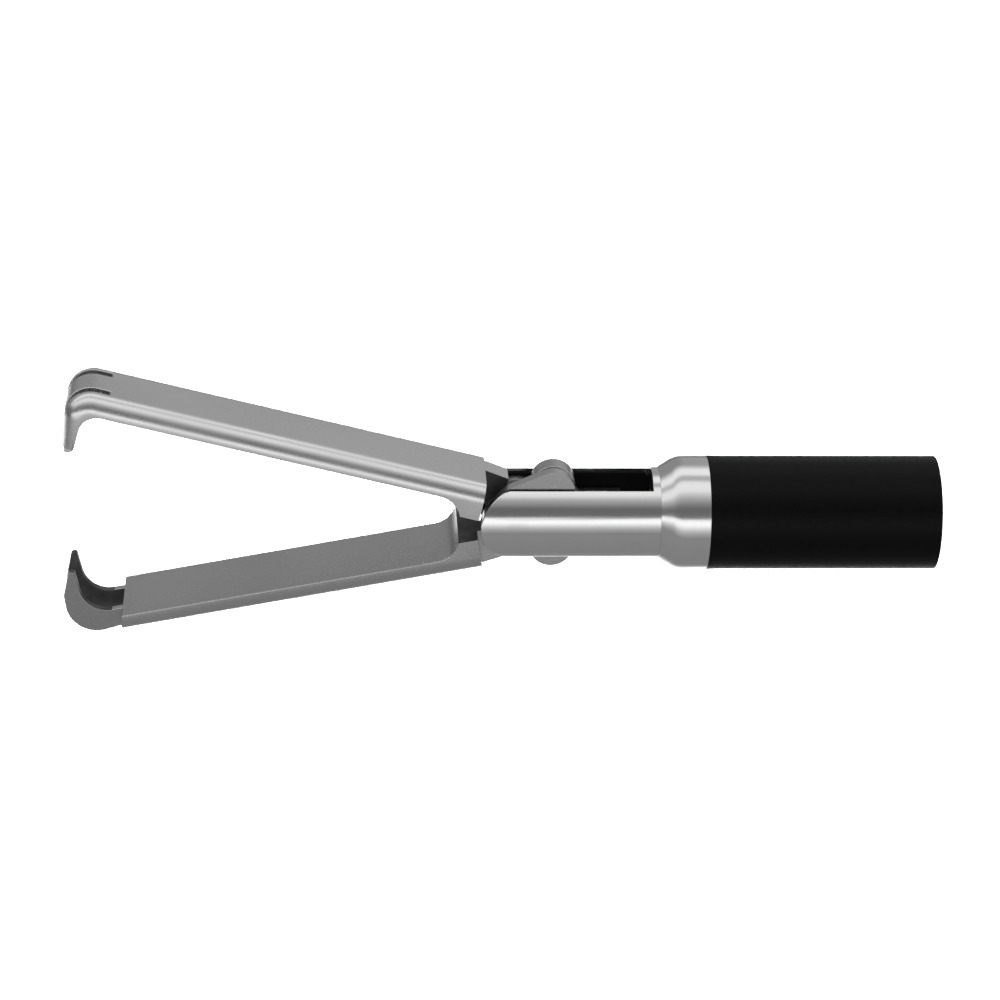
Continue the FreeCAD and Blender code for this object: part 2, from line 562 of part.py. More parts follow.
def make_fork():
    """Turned bar with a bored shank, slotted for the jaws, each arm's front rounded."""
    front = f"(0 - {FORK_RADIUS})"
    body = revolve("fork", [
        (front, "0"),
        (front, FORK_RADIUS),
        (SEAT, FORK_RADIUS),
        (SEAT, SHANK_RADIUS),
        (SPIGOT_END, SHANK_RADIUS),
        (SPIGOT_END, "sizes.shank_bore / 2"),
        (BUSH_END, "sizes.shank_bore / 2"),
        (BUSH_END, f"{ROD_RADIUS} + sizes.bush_wall + sizes.slide_gap / 2"),
        ("sizes.slot_depth - sizes.neck_length", f"{ROD_RADIUS} + sizes.bush_wall + sizes.slide_gap / 2"),
        ("sizes.slot_depth - sizes.neck_length", "0"),
    ])
    slot = side_sketch(body, "fork_slot", "sizes.slot_width / 2")
    draw_corners(slot, [
        (f"2 * {front}", f"0 - {FORK_DIAMETER}"),
        ("sizes.slot_depth", f"0 - {FORK_DIAMETER}"),
        ("sizes.slot_depth", FORK_DIAMETER),
        (f"2 * {front}", FORK_DIAMETER),
    ])
    cut_between(body, slot, "0 - sizes.slot_width / 2", "sizes.slot_width / 2")
    nose = side_sketch(body, "arm_nose", FORK_DIAMETER)
    radius = value("sizes.nose_radius")
    arc = nose.addGeometry(Part.ArcOfCircle(
        Part.Circle(FreeCAD.Vector(0, 0, 0), FreeCAD.Vector(0, 0, 1), radius), math.pi / 2, 1.5 * math.pi))
    far = value(FORK_DIAMETER)
    corners = [(0, -radius), (0, -far), (-far, -far), (-far, far), (0, far), (0, radius)]
    points = [FreeCAD.Vector(x, y, 0) for x, y in corners]
    lines = [nose.addGeometry(Part.LineSegment(a, b)) for a, b in zip(points, points[1:])]
    add(nose, "Coincident", arc, 2, lines[0], 1)
    for one, two in zip(lines, lines[1:]):
        add(nose, "Coincident", one, 2, two, 1)
    add(nose, "Coincident", lines[-1], 2, arc, 1)
    for line in (lines[0], lines[2], lines[4]):
        add(nose, "Vertical", line)
    for line in (lines[1], lines[3]):
        add(nose, "Horizontal", line)
    pin_point(nose, arc, 3, "0", "0")
    drive(nose, add(nose, "Radius", arc, radius), "sizes.nose_radius")
    add(nose, "PointOnObject", arc, 1, -2)
    pin_point(nose, lines[1], 2, f"0 - {FORK_DIAMETER}", f"0 - {FORK_DIAMETER}")
    drive(nose, add(nose, "DistanceY", -1, 1, lines[3], 2, far), FORK_DIAMETER)
    cut_between(body, nose, f"0 - {FORK_DIAMETER}", FORK_DIAMETER)
    drill(body, "fork_pivot_hole", "sizes.pivot_diameter / 2 + sizes.fit_gap / 2")
    drill(body, "shank_lock_hole", "sizes.lock_pin_diameter / 2 + sizes.fit_gap / 2", LOCK_X)
    place(body)
    return body


def make_liner(side, low, high):
    """Thin black polymer sheet on one face of the slot, held by the pivot pin."""
    body = new_body(f"slot_liner_{side}")
    sheet_outline = side_sketch(body, f"liner_{side}", high)
    front = "(0 - sizes.liner_height / 2)"
    top = "(sizes.liner_height / 2)"
    draw_corners(sheet_outline, [
        (front, front, "sizes.liner_round"),
        ("sizes.slot_depth - sizes.slide_gap", front, "sizes.flare_round"),
        ("sizes.slot_depth - sizes.slide_gap", top, "sizes.flare_round"),
        (front, top, "sizes.liner_round"),
    ])
    pad_between(body, sheet_outline, low, high)
    drill(body, f"liner_{side}_hole", "sizes.pivot_diameter / 2 + sizes.fit_gap")
    place(body)
    return body


def make_link(label, flip):
    """Flat link with a thick eye for the rivet at its origin and a thin one for the yoke pin.

    The thick eye fills the slot between the two tangs; the thin end lies beside the other link."""
    body = new_body(label)
    waist = side_sketch(body, label + "_waist", LINK_OUTER)
    draw_belt(waist, ("sizes.link_waist / 2", "0", "0"),
              ("sizes.link_waist / 2 - sizes.fit_gap", "sizes.tang_length", "0"))
    pad_between(body, waist, LINK_INNER, LINK_OUTER)
    eye = side_sketch(body, label + "_pin_eye", LINK_OUTER)
    draw_circle(eye, "sizes.link_eye_radius", "sizes.tang_length")
    pad_between(body, eye, LINK_INNER, LINK_OUTER)
    boss = side_sketch(body, label + "_rivet_eye", LINK_OUTER)
    draw_circle(boss, "sizes.link_boss_radius")
    pad_between(body, boss, "0 - sizes.link_boss_reach", LINK_OUTER)
    drill(body, label + "_rivet_hole", "sizes.rivet_diameter / 2 + sizes.slide_gap")
    drill(body, label + "_pin_hole", "sizes.yoke_pin_diameter / 2 + sizes.open_pivot_gap", "sizes.tang_length")
    if flip:
        place(body, x=RIVET_X, z=RIVET_Z, turn=REST_TANG, flip=True)
    else:
        place(body, x=RIVET_X, z=f"0 - {RIVET_Z}", turn=f"0 - {REST_TANG}")
    return body


def make_rivet(label, z, flip):
    """Flush rivet through a tang and its link."""
    body = new_body(label)
    section = side_sketch(body, label + "_round", f"{HUB_OUTER} - sizes.fit_gap")
    draw_circle(section, "sizes.rivet_diameter / 2")
    pad_between(body, section, "0 - sizes.link_boss_reach + sizes.fit_gap", f"{HUB_OUTER} - sizes.fit_gap")
    place(body, x=RIVET_X, z=z, flip=flip)
    return body


def make_yoke():
    """Forked end of the pull rod: two ears outside the links and a bridge behind them."""
    body = new_body("rod_yoke")
    block = side_sketch(body, "yoke_side", "sizes.yoke_width / 2")
    half = "(sizes.yoke_height / 2)"
    draw_corners(block, [
        (f"0 - {half}", f"0 - {half}", "sizes.yoke_round"),
        ("sizes.yoke_back", f"0 - {half}"),
        ("sizes.yoke_back", half),
        (f"0 - {half}", half, "sizes.yoke_round"),
    ])
    pad_between(body, block, "0 - sizes.yoke_width / 2", "sizes.yoke_width / 2")
    jaw_side = f"({LINK_OUTER} + sizes.slide_gap)"
    gap = side_sketch(body, "yoke_gap", jaw_side)
    draw_corners(gap, [
        ("0 - sizes.yoke_height", "0 - sizes.yoke_height"),
        ("sizes.yoke_back - sizes.yoke_bridge", "0 - sizes.yoke_height"),
        ("sizes.yoke_back - sizes.yoke_bridge", "sizes.yoke_height"),
        ("0 - sizes.yoke_height", "sizes.yoke_height"),
    ])
    cut_between(body, gap, f"0 - {jaw_side}", jaw_side)
    drill(body, "yoke_pin_hole", "sizes.yoke_pin_diameter / 2 + sizes.fit_gap / 2")
    hole = new_sketch(body, "yoke_rod_hole", "YZ_Plane", "sizes.yoke_back - sizes.yoke_bridge")
    draw_circle(hole, "sizes.rod_spigot_diameter / 2 + sizes.fit_gap / 2")
    bore = body.newObject("PartDesign::Pocket", "yoke_rod_bore")
    bore.Profile = hole
    bore.Reversed = True
    bore.setExpression("Length", "sizes.yoke_bridge")
    finish(body, bore, hole, False)
    place(body, x=YOKE_X)
    return body


def make_yoke_pin():
    body = new_body("yoke_pin")
    section = side_sketch(body, "yoke_pin_round", "sizes.yoke_width / 2")
    draw_circle(section, "sizes.yoke_pin_diameter / 2")
    pad_between(body, section, "0 - sizes.yoke_width / 2", "sizes.yoke_width / 2")
    place(body, x=YOKE_X)
    return body


def make_rod():
    """Pull rod: a thin end riveted into the yoke's bridge and a turned tail at the cut end."""
    shoulder = f"({YOKE_X} + sizes.yoke_back)"
    body = revolve("pull_rod", [
        (f"{shoulder} - sizes.yoke_bridge", "0"),
        (f"{shoulder} - sizes.yoke_bridge", "sizes.rod_spigot_diameter / 2"),
        (shoulder, "sizes.rod_spigot_diameter / 2"),
        (shoulder, ROD_RADIUS),
        (TAIL_START, ROD_RADIUS),
        (TAIL_START, "sizes.rod_tail_diameter / 2"),
        (ROD_BACK, "sizes.rod_tail_diameter / 2"),
        (ROD_BACK, "0"),
    ])
    place(body)
    return body


def make_ring(label, start, end, inner, outer):
    """Plain turned ring or tube."""
    body = revolve(label, [(start, inner), (start, outer), (end, outer), (end, inner)])
    place(body)
    return body


def make_collar():
    """Steel collar: rounded front flare, seat for the fork's head and spigot into the tube."""
    outside = "sizes.shaft_diameter / 2"
    head_bore = f"({FORK_RADIUS} + sizes.fit_gap)"
    shank_bore = f"({SHANK_RADIUS} + sizes.fit_gap)"
    seat = f"({SEAT} + sizes.fit_gap)"
    body = revolve("nose_collar", [
        (NECK_END, head_bore),
        (NECK_END, f"{head_bore} + sizes.fit_gap"),
        (RIM, outside, "sizes.flare_round"),
        (COLLAR_BACK, outside),
        (COLLAR_BACK, SPIGOT_RADIUS),
        (SPIGOT_END, SPIGOT_RADIUS),
        (SPIGOT_END, shank_bore),
        (seat, shank_bore),
        (seat, head_bore),
    ])
    drill(body, "collar_lock_hole", "sizes.lock_pin_diameter / 2 + sizes.fit_gap / 2", LOCK_X)
    place(body)
    return body


def make_lock_pins():
    """Two cross pins between the collar's spigot and the fork's shank, hidden by the tube."""
    pins = []
    for name, turn in (("near", 90), ("far", -90)):
        pin = doc.addObject("Part::Cylinder", f"lock_pin_{name}")
        pin.setExpression("Radius", "sizes.lock_pin_diameter / 2")
        pin.setExpression("Height", f"{SPIGOT_RADIUS} - sizes.shank_bore / 2 - 2 * sizes.fit_gap")
        pin.Placement.Rotation = FreeCAD.Rotation(FreeCAD.Vector(1, 0, 0), turn)
        sign = -1 if turn > 0 else 1
        pin.setExpression("Placement.Base.y", f"{sign} * (sizes.shank_bore / 2 + sizes.fit_gap)")
        pin.setExpression("Placement.Base.x", LOCK_X)
        pins.append(pin)
    pair = doc.addObject("Part::Compound", "lock_pins")
    pair.Links = pins
    pair.Label = "lock_pins"
    place(pair)
    return pair


def make_parts():
    rod_bore = f"({ROD_RADIUS} + sizes.slide_gap)"
    bush_outer = f"({ROD_RADIUS} + sizes.bush_wall)"
    sleeve_outer = f"({ROD_RADIUS} + sizes.sleeve_wall)"
    sleeve_inner = f"({ROD_RADIUS} + sizes.fit_gap / 2)"
    disc_back = f"({CUT_END} - sizes.disc_place)"
    return [
        make_upper_jaw(),
        make_lower_jaw(),
        make_pivot_pin(),
        make_fork(),
        make_liner("left", LINER_INNER, LINER_OUTER),
        make_liner("right", f"0 - {LINER_OUTER}", f"0 - {LINER_INNER}"),
        make_link("upper_link", False),
        make_link("lower_link", True),
        make_rivet("upper_link_rivet", f"0 - {RIVET_Z}", False),
        make_rivet("lower_link_rivet", RIVET_Z, True),
        make_yoke(),
        make_yoke_pin(),
        make_rod(),
        make_ring("rod_sleeve", f"{SPIGOT_END} + sizes.sleeve_start", f"{TAIL_START} - sizes.sleeve_margin",
                  sleeve_inner, sleeve_outer),
        make_ring("rod_guide_bush", "sizes.slot_depth + sizes.slide_gap", f"{BUSH_END} - sizes.slide_gap",
                  rod_bore, bush_outer),
        make_collar(),
        make_lock_pins(),
        make_ring("shaft_tube", f"{COLLAR_BACK} + sizes.fit_gap", CUT_END, TUBE_INNER, TUBE_OUTER),
        make_ring("shaft_insulation", f"{COLLAR_BACK} + sizes.fit_gap", CUT_END, TUBE_OUTER,
                  "sizes.shaft_diameter / 2"),
        make_ring("rod_centring_disc", f"{disc_back} - sizes.disc_thickness", disc_back,
                  f"{sleeve_outer} + sizes.slide_gap", SPIGOT_RADIUS),
    ]


def check_document(parts):
    """Stops on a failed object or a missing, broken or unexpectedly split shape."""
    doc.recompute()
    for item in doc.Objects:
        if "Invalid" in item.State or "Error" in item.State:
            raise RuntimeError(f"{item.Label} failed: {item.State}")
    for part in parts:
        if part.Shape.isNull() or not part.Shape.isValid():
            raise RuntimeError(f"{part.Label} has no valid shape")
        solids = 2 if part.Label == "lock_pins" else 1
        if len(part.Shape.Solids) != solids:
            raise RuntimeError(f"{part.Label} has {len(part.Shape.Solids)} solids")


def export_parts(parts):
    os.makedirs("parts", exist_ok=True)
    for part in parts:
        part.Shape.exportStep(f"parts/{part.Label}.step")
        box = part.Shape.BoundBox
        print(f"{part.Label:20s} volume {part.Shape.Volume:9.3f}  x {box.XMin:7.2f} {box.XMax:7.2f}"
              f"  y {box.YMin:6.2f} {box.YMax:6.2f}  z {box.ZMin:6.2f} {box.ZMax:6.2f}")


all_parts = make_parts()
check_document(all_parts)
export_parts(all_parts)
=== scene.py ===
import math
import bmesh
import bpy
import numpy as np
from mathutils import Matrix, Vector


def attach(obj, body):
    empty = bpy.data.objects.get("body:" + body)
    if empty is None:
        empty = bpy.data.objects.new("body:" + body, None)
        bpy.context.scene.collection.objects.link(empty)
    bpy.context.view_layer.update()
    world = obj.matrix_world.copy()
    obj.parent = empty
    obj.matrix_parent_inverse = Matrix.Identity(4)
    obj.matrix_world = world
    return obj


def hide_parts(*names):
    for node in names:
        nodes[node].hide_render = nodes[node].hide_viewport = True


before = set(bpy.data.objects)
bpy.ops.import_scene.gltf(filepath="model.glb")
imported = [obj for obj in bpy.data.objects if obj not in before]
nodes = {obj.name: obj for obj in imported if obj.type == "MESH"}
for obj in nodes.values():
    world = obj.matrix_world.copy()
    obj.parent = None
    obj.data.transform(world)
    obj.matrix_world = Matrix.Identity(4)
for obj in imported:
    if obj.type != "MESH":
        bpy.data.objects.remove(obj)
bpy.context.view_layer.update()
MM = 0.001

# Shaft: a drawn steel tube under black insulation, which ends in a square cut at the origin.
# The insulation is a polyolefin sleeve shrunk on with heat: its skin is faintly wavy, matt to
# semi-gloss, and its front edge stands a hair proud of the collar.


def linear(hex_colour):
    """Linear RGBA of an sRGB hex colour such as B4B2AE.

    A channel up to 0.04045 is divided by 12.92. A lighter one has 0.055 added, is divided by 1.055
    and raised to the power 2.4."""
    channels = np.array([int(hex_colour[i:i + 2], 16) / 255 for i in (0, 2, 4)])
    low = channels / 12.92
    high = ((channels + 0.055) / 1.055) ** 2.4
    return (*np.where(channels <= 0.04045, low, high).tolist(), 1.0)


def add_node(tree, kind, inputs=(), **settings):
    """Adds a node; inputs maps a socket's name or number to a value or to another socket."""
    made = tree.nodes.new(kind)
    for name, setting in settings.items():
        setattr(made, name, setting)
    for socket, given in dict(inputs).items():
        if isinstance(given, bpy.types.NodeSocket):
            tree.links.new(given, made.inputs[socket])
        else:
            made.inputs[socket].default_value = given
    return made


def new_material(name, **shader_values):
    """A material with one Principled shader; underscores in a name stand for spaces."""
    material = bpy.data.materials.new(name)
    material.use_nodes = True
    shader = material.node_tree.nodes["Principled BSDF"]
    for socket, given in shader_values.items():
        shader.inputs[socket.replace("_", " ")].default_value = given
    return material, material.node_tree, shader


def brushed_steel(name, hex_colour, roughness, grain_mm, stretch, depth_mm, lean=0.0):
    """Steel with fine grain that is drawn out along one direction, and faint larger smudges.

    The grain and the smudges shift the roughness, the grain lifts the surface and the smudges make
    it faintly wavy, as after polishing by hand. Stretch gives the pattern's frequency along X, Y
    and Z, lean turns it about Y with a tilted blade."""
    material, tree, shader = new_material(name, Base_Color=linear(hex_colour), Metallic=1.0,
                                          Roughness=roughness)
    place = add_node(tree, "ShaderNodeTexCoord").outputs["Object"]
    turned = add_node(tree, "ShaderNodeMapping", {"Vector": place, "Rotation": (0, lean, 0)},
                      vector_type="POINT").outputs["Vector"]
    drawn = add_node(tree, "ShaderNodeMapping", {"Vector": turned, "Scale": stretch})
    grain = add_node(tree, "ShaderNodeTexNoise",
                     {"Vector": drawn.outputs["Vector"], "Scale": 1 / (grain_mm * MM),
                      "Detail": 3.0, "Roughness": GRAIN_ROUGHNESS})
    smudge = add_node(tree, "ShaderNodeTexNoise",
                      {"Vector": place, "Scale": 1 / (SMUDGE_MM * MM), "Detail": 2.0, "Roughness": 0.3})
    both = add_node(tree, "ShaderNodeMath", {0: grain.outputs["Fac"], 1: smudge.outputs["Fac"]},
                    operation="ADD")
    rough = add_node(tree, "ShaderNodeMapRange",
                     {"Value": both.outputs["Value"], "From Min": STEEL_NOISE[0], "From Max": STEEL_NOISE[1],
                      "To Min": roughness * STEEL_SHEEN[0], "To Max": roughness * STEEL_SHEEN[1]})
    tree.links.new(rough.outputs["Result"], shader.inputs["Roughness"])
    wavy = add_node(tree, "ShaderNodeBump",
                    {"Height": smudge.outputs["Fac"], "Strength": 1.0, "Distance": WAVE_MM * MM})
    bump = add_node(tree, "ShaderNodeBump",
                    {"Height": grain.outputs["Fac"], "Strength": STEEL_BUMP, "Distance": depth_mm * MM,
                     "Normal": wavy.outputs["Normal"]})
    tree.links.new(bump.outputs["Normal"], shader.inputs["Normal"])
    return material


def worked_plastic(name, hex_colour, roughness, ior, grain_mm, stretch, depth_mm, level=0.5):
    """A polymer with fine relief, whose tint and roughness shift a little with the relief."""
    material, tree, shader = new_material(name, IOR=ior, Specular_IOR_Level=level)
    place = add_node(tree, "ShaderNodeTexCoord").outputs["Object"]
    drawn = add_node(tree, "ShaderNodeMapping", {"Vector": place, "Scale": stretch})
    relief = add_node(tree, "ShaderNodeTexNoise",
                      {"Vector": drawn.outputs["Vector"], "Scale": 1 / (grain_mm * MM), "Detail": 3.0})
    tint = add_node(tree, "ShaderNodeValToRGB", {"Fac": relief.outputs["Fac"]})
    for element, share in zip(tint.color_ramp.elements, PLASTIC_TINT):
        element.color = (*np.minimum(np.array(linear(hex_colour)[:3]) * share, 1.0).tolist(), 1.0)
    tree.links.new(tint.outputs["Color"], shader.inputs["Base Color"])
    rough = add_node(tree, "ShaderNodeMapRange",
                     {"Value": relief.outputs["Fac"], "From Min": PLASTIC_NOISE[0],
                      "From Max": PLASTIC_NOISE[1], "To Min": roughness * PLASTIC_SHEEN[0],
                      "To Max": roughness * PLASTIC_SHEEN[1]})
    tree.links.new(rough.outputs["Result"], shader.inputs["Roughness"])
    bump = add_node(tree, "ShaderNodeBump",
                    {"Height": relief.outputs["Fac"], "Strength": PLASTIC_BUMP, "Distance": depth_mm * MM})
    tree.links.new(bump.outputs["Normal"], shader.inputs["Normal"])
    return material


def dress(material, *names):
    """Gives CAD nodes a material in place of their plain one."""
    for name in names:
        mesh = nodes[name].data
        mesh.materials.clear()
        mesh.materials.append(material)


def new_piece(name, mesh, material, body, replaced):
    """Puts a mesh in the scene as a piece that stands for a CAD node and moves with its body."""
    mesh.materials.append(material)
    piece = bpy.data.objects.new(name, mesh)
    bpy.context.scene.collection.objects.link(piece)
    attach(piece, body)
    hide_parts(replaced)
    return piece


def soften(mesh, angle):
    """Smooth shading that stays sharp where faces meet at more than an angle in degrees."""
    mesh.shade_smooth()
    mesh.set_sharp_from_angle(angle=math.radians(angle))


def rounded(corners, steps=8):
    """Points of a closed outline whose corners (across, up, radius) are replaced by arcs.

    The arc starts and ends at radius / tan(half angle) from its corner on either side, and its
    centre lies at radius / sin(half angle) along the corner's bisector."""
    points = np.array([corner[:2] for corner in corners], float)
    outline = []
    for i, (before, here, after) in enumerate(zip(np.roll(points, 1, 0), points, np.roll(points, -1, 0))):
        radius = corners[i][2]
        if radius == 0:
            outline.append(here)
            continue
        to_before = (before - here) / np.linalg.norm(before - here)
        to_after = (after - here) / np.linalg.norm(after - here)
        half = math.acos(np.clip(to_before @ to_after, -1, 1)) / 2
        middle = (to_before + to_after) / np.linalg.norm(to_before + to_after)
        centre = here + middle * radius / math.sin(half)
        first = here + to_before * radius / math.tan(half) - centre
        last = here + to_after * radius / math.tan(half) - centre
        sweep = math.pi - 2 * half
        share = np.linspace(0, 1, steps + 1)[:, None]
        outline.extend(centre + (first * np.sin((1 - share) * sweep) + last * np.sin(share * sweep))
                       / math.sin(sweep))
    return np.array(outline)


def turned_mesh(name, corners, turns=160):
    """A ring turned about X from a closed section of corners (place, radius, rounding) in mm.

    A point of the section at angle t becomes (place, radius cos t, radius sin t). The section
    runs clockwise, so that the faces look outward."""
    section = rounded(corners)
    ahead = np.roll(section, -1, 0)
    if np.sum(section[:, 0] * ahead[:, 1] - ahead[:, 0] * section[:, 1]) > 0:
        section = section[::-1]
    angle = np.linspace(0, 2 * math.pi, turns, endpoint=False)
    place, radius = section[:, :1], section[:, 1:]
    grid = np.stack([place + 0 * angle, radius * np.cos(angle), radius * np.sin(angle)], axis=-1) * MM
    rows, columns = np.meshgrid(np.arange(len(section)), np.arange(turns), indexing="ij")
    below = (rows + 1) % len(section)
    beside = (columns + 1) % turns
    faces = np.stack([rows * turns + columns, rows * turns + beside, below * turns + beside,
                      below * turns + columns], axis=-1).reshape(-1, 4)
    mesh = bpy.data.meshes.new(name)
    mesh.from_pydata(grid.reshape(-1, 3), [], faces.tolist())
    soften(mesh, RING_SHARP_ANGLE)
    return mesh


GRAIN_ROUGHNESS = 0.55
SMUDGE_MM = 9.0
WAVE_MM = 0.05
STEEL_NOISE = (0.7, 1.3)
STEEL_SHEEN = (0.8, 1.25)
STEEL_BUMP = 0.4
PLASTIC_NOISE = (0.3, 0.7)
PLASTIC_SHEEN = (0.85, 1.15)
PLASTIC_TINT = (0.8, 1.2)
PLASTIC_BUMP = 0.3
RING_SHARP_ANGLE = 40
SHAFT_RADIUS = 5.0
INSULATION_WALL = 0.35
STUB_START = -20.28
INSULATION_LIFT = 0.04
LIFT_LENGTH = 1.0
CUT_ROUND = 0.06

# Cold-drawn stainless steel: fine streaks along the tube, duller than polished bar.
drawn_steel = brushed_steel("drawn_steel", "B8B8B8", roughness=0.28, grain_mm=0.12,
                            stretch=(0.05, 1.0, 1.0), depth_mm=0.002)
dress(drawn_steel, "shaft_tube", "pull_rod")

# Heat-shrunk polyolefin: a deep black skin with hardly any shine and a faint orange peel.
shrunk_polyolefin = worked_plastic("shrunk_polyolefin", "0A0A0A", roughness=0.4, ior=1.49, grain_mm=0.5,
                                   stretch=(1, 1, 1), depth_mm=0.004, level=0.07)
insulation = turned_mesh("shrunk_insulation", [
    (STUB_START, SHAFT_RADIUS - INSULATION_WALL, 0),
    (STUB_START, SHAFT_RADIUS + INSULATION_LIFT, CUT_ROUND),
    (STUB_START + LIFT_LENGTH, SHAFT_RADIUS, 0),
    (0, SHAFT_RADIUS, CUT_ROUND),
    (0, SHAFT_RADIUS - INSULATION_WALL, 0),
])
new_piece("shrunk_insulation", insulation, shrunk_polyolefin, "shaft", "shaft_insulation")

# Collar and fork: turned from stainless bar and polished, pinned together behind the flare.
# The fork's round outside and the collar mirror the soft lights as clean bands.


def joined_copy(node, name):
    """A copy of a CAD node's mesh with its vertices merged and its flat faces made whole."""
    work = bmesh.new()
    work.from_mesh(nodes[node].data)
    bmesh.ops.remove_doubles(work, verts=work.verts, dist=MERGE)
    bmesh.ops.dissolve_limit(work, angle_limit=math.radians(FLAT_ANGLE), verts=work.verts,
                             edges=work.edges)
    work.verts.index_update()
    mesh = bpy.data.meshes.new(name)
    mesh.from_pydata([vertex.co[:] for vertex in work.verts], [],
                     [[vertex.index for vertex in face.verts] for face in work.faces])
    work.free()
    soften(mesh, SHARP_ANGLE)
    return mesh


def eased_copy(node, width_mm, material, body, left_sharp=None):
    """A piece that stands for a CAD node and has small rounded edges, as tumbling leaves them.

    Edges for which left_sharp(ends in mm, as an array of edge, end, axis) holds keep their corner."""
    mesh = joined_copy(node, node + "_eased")
    points = np.array([vertex.co[:] for vertex in mesh.vertices]) / MM
    ends = points[np.array([edge.vertices[:] for edge in mesh.edges])]
    eased = np.array([edge.use_edge_sharp for edge in mesh.edges])
    if left_sharp:
        eased &= ~np.all(left_sharp(ends), axis=1)
    weights = mesh.attributes.new("bevel_weight_edge", "FLOAT", "EDGE")
    weights.data.foreach_set("value", eased.astype(np.float32))
    piece = new_piece(node + "_eased", mesh, material, body, node)
    bevel = piece.modifiers.new("eased_edges", "BEVEL")
    bevel.width = width_mm * MM
    bevel.segments = 2
    bevel.limit_method = "WEIGHT"
    bevel.use_clamp_overlap = False
    bevel.harden_normals = True
    return piece


def from_pivot(points):
    """Distance of points in mm from the jaws' pivot line."""
    return np.hypot(points[..., 0] - PIVOT, points[..., 2])


def flush_bore(points):
    """The mouths of the fork's bores, where the pivot pin lies flush."""
    return (from_pivot(points) < BORE_RADIUS) & (np.abs(points[..., 1]) > FLUSH_OUT)


MERGE = 0.0005 * MM
FLAT_ANGLE = 0.5
SHARP_ANGLE = 30
PIVOT = -37.1
BORE_RADIUS = 1.1
FLUSH_OUT = 3.5
FORK_EASE = 0.07
NECK_END = -24.6
RIM = -23.1
FLARE_ROUND = 2.2
FRONT_EDGE = 0.06
BACK_EDGE_ROUND = 0.05
END_GAP = 0.02
HEAD_BORE = 4.02
HEAD_BORE_DEPTH = 2.6
SPIGOT = 4.18
SPIGOT_END = -14.3
SPIGOT_BORE = 3.3

# Stainless bar, turned and polished: grain around the axis, and clean bands of mirrored light.
turned_steel = brushed_steel("turned_steel", "CACACA", roughness=0.16, grain_mm=0.06,
                             stretch=(1.0, 0.08, 0.08), depth_mm=0.0006)
collar = turned_mesh("turned_collar", [
    (NECK_END, HEAD_BORE, 0),
    (NECK_END, HEAD_BORE + FRONT_EDGE, FRONT_EDGE / 2),
    (RIM, SHAFT_RADIUS, FLARE_ROUND),
    (STUB_START - END_GAP, SHAFT_RADIUS, BACK_EDGE_ROUND),
    (STUB_START - END_GAP, SPIGOT, 0),
    (SPIGOT_END, SPIGOT, 0),
    (SPIGOT_END, SPIGOT_BORE, 0),
    (NECK_END + HEAD_BORE_DEPTH, SPIGOT_BORE, 0),
    (NECK_END + HEAD_BORE_DEPTH, HEAD_BORE, 0),
])
new_piece("turned_collar", collar, turned_steel, "shaft", "nose_collar")
eased_copy("fork", FORK_EASE, turned_steel, "shaft", flush_bore)

# Pins and rivets: stainless wire cut to length. The pivot pin's ends are ground flush with the
# fork and polished with it, so they can hardly be seen: the pin is 1% wider, to close its bores.

PIN_FILL = 1.01
PIVOT_LINE = np.array((PIVOT * MM, 0, 0))

# Stainless wire, centreless ground: an even grey sheen with faint marks around the pin.
pin_steel = brushed_steel("ground_pin_steel", "BEBEBE", roughness=0.25, grain_mm=0.08,
                          stretch=(1.0, 0.2, 1.0), depth_mm=0.001)
dress(pin_steel, "lock_pins", "upper_link_rivet", "lower_link_rivet", "yoke_pin")
pin_mesh = joined_copy("jaw_pivot_pin", "burnished_pin")
spread = np.array([vertex.co[:] for vertex in pin_mesh.vertices]) - PIVOT_LINE
pin_mesh.vertices.foreach_set("co", (PIVOT_LINE + spread * (PIN_FILL, 1, PIN_FILL)).ravel())
new_piece("burnished_pin", pin_mesh, turned_steel, "shaft", "jaw_pivot_pin")

# Slot liners: thin black acetal sheets on the faces of the fork's slot, which the hubs and links slide
# along; their black is painted shade, which stands for the dark inside of the slot. They are cut from rolled
# sheet, so they are matt and show a very fine tooth.

# Black sheet whose colour is partly painted shade inside the slot.
shade_black_acetal = worked_plastic("shade_black_acetal", "080808", roughness=0.6, ior=1.48, grain_mm=0.2,
                              stretch=(1, 1, 1), depth_mm=0.002, level=0.2)
dress(shade_black_acetal, "slot_liner_left", "slot_liner_right")

# Guide bush and centring disc: turned from PEEK rod, a brownish engineering plastic, and pushed
# in. They lead the pull rod, and fine turning rings show on their faces.

machined_peek = worked_plastic("machined_peek", "7E705A", roughness=0.5, ior=1.65, grain_mm=0.15,
                               stretch=(1, 0.1, 0.1), depth_mm=0.003)
dress(machined_peek, "rod_guide_bush", "rod_centring_disc")

# Rod sleeve: white PTFE tube that insulates the pull rod and slides in the disc. It is extruded,
# so it has a waxy shine and faint lines along the rod.

extruded_ptfe = worked_plastic("extruded_ptfe", "E0DED7", roughness=0.4, ior=1.38, grain_mm=0.4,
                               stretch=(0.1, 1, 1), depth_mm=0.003)
dress(extruded_ptfe, "rod_sleeve")

# Links and yoke: milled from stainless plate and deburred, and joined by rivets and the yoke's
# pin. They stay a little duller than the fork, because no wheel reaches between them.

LINK_EASE = 0.06
milled_steel = brushed_steel("milled_steel", "B0B0B0", roughness=0.26, grain_mm=0.1,
                             stretch=(1.0, 1.0, 0.2), depth_mm=0.001)
for node, body in (("upper_link", "upper_link"), ("lower_link", "lower_link"), ("rod_yoke", "pull_rod")):
    eased_copy(node, LINK_EASE, milled_steel, body)

# Jaws: blades forged from stainless steel with their hooks, then ground and satined along their
# length. The three fingers and two teeth pass between each other when the jaws close.

